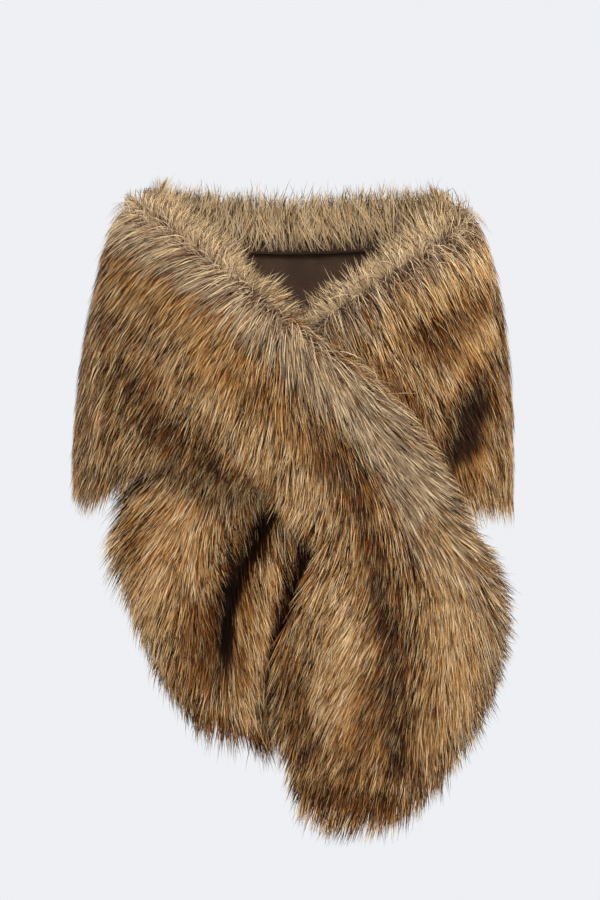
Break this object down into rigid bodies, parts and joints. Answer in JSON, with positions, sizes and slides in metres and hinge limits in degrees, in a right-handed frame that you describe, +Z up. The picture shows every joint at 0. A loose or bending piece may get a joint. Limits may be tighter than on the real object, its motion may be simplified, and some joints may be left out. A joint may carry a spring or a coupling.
{
  "type": "fur collar wrap",
  "caption": "Long-pile faux-fur stole, worn off the shoulders: one strip round the upper arms and back, its ends crossed on the chest and hanging as rounded tails.",
  "frame": {"origin": "on the middle line at the height of the upper arms, where the wearer holds the wrap up", "axes": "+Z up, the front of the worn wrap faces -Y, +X is the wearer's left"},
  "size_m": [0.5165, 0.3152, 0.7314],
  "materials": {
    "fur_over": "long golden brown pile with dark tips, grey-beige along the turned neck edge",
    "fur_round": "long golden brown pile with dark patches, grey-beige along the turned neck edge",
    "fur_under": "long golden brown pile with pale ridges and near-black troughs"
  },
  "bodies": {
    "root": {"over_tail": "fur_over", "over_front": "fur_over", "right_shoulder": "fur_round", "back": "fur_round", "left_shoulder": "fur_round", "under_front": "fur_under", "under_tail": "fur_under"}
  },
  "joints": []
}
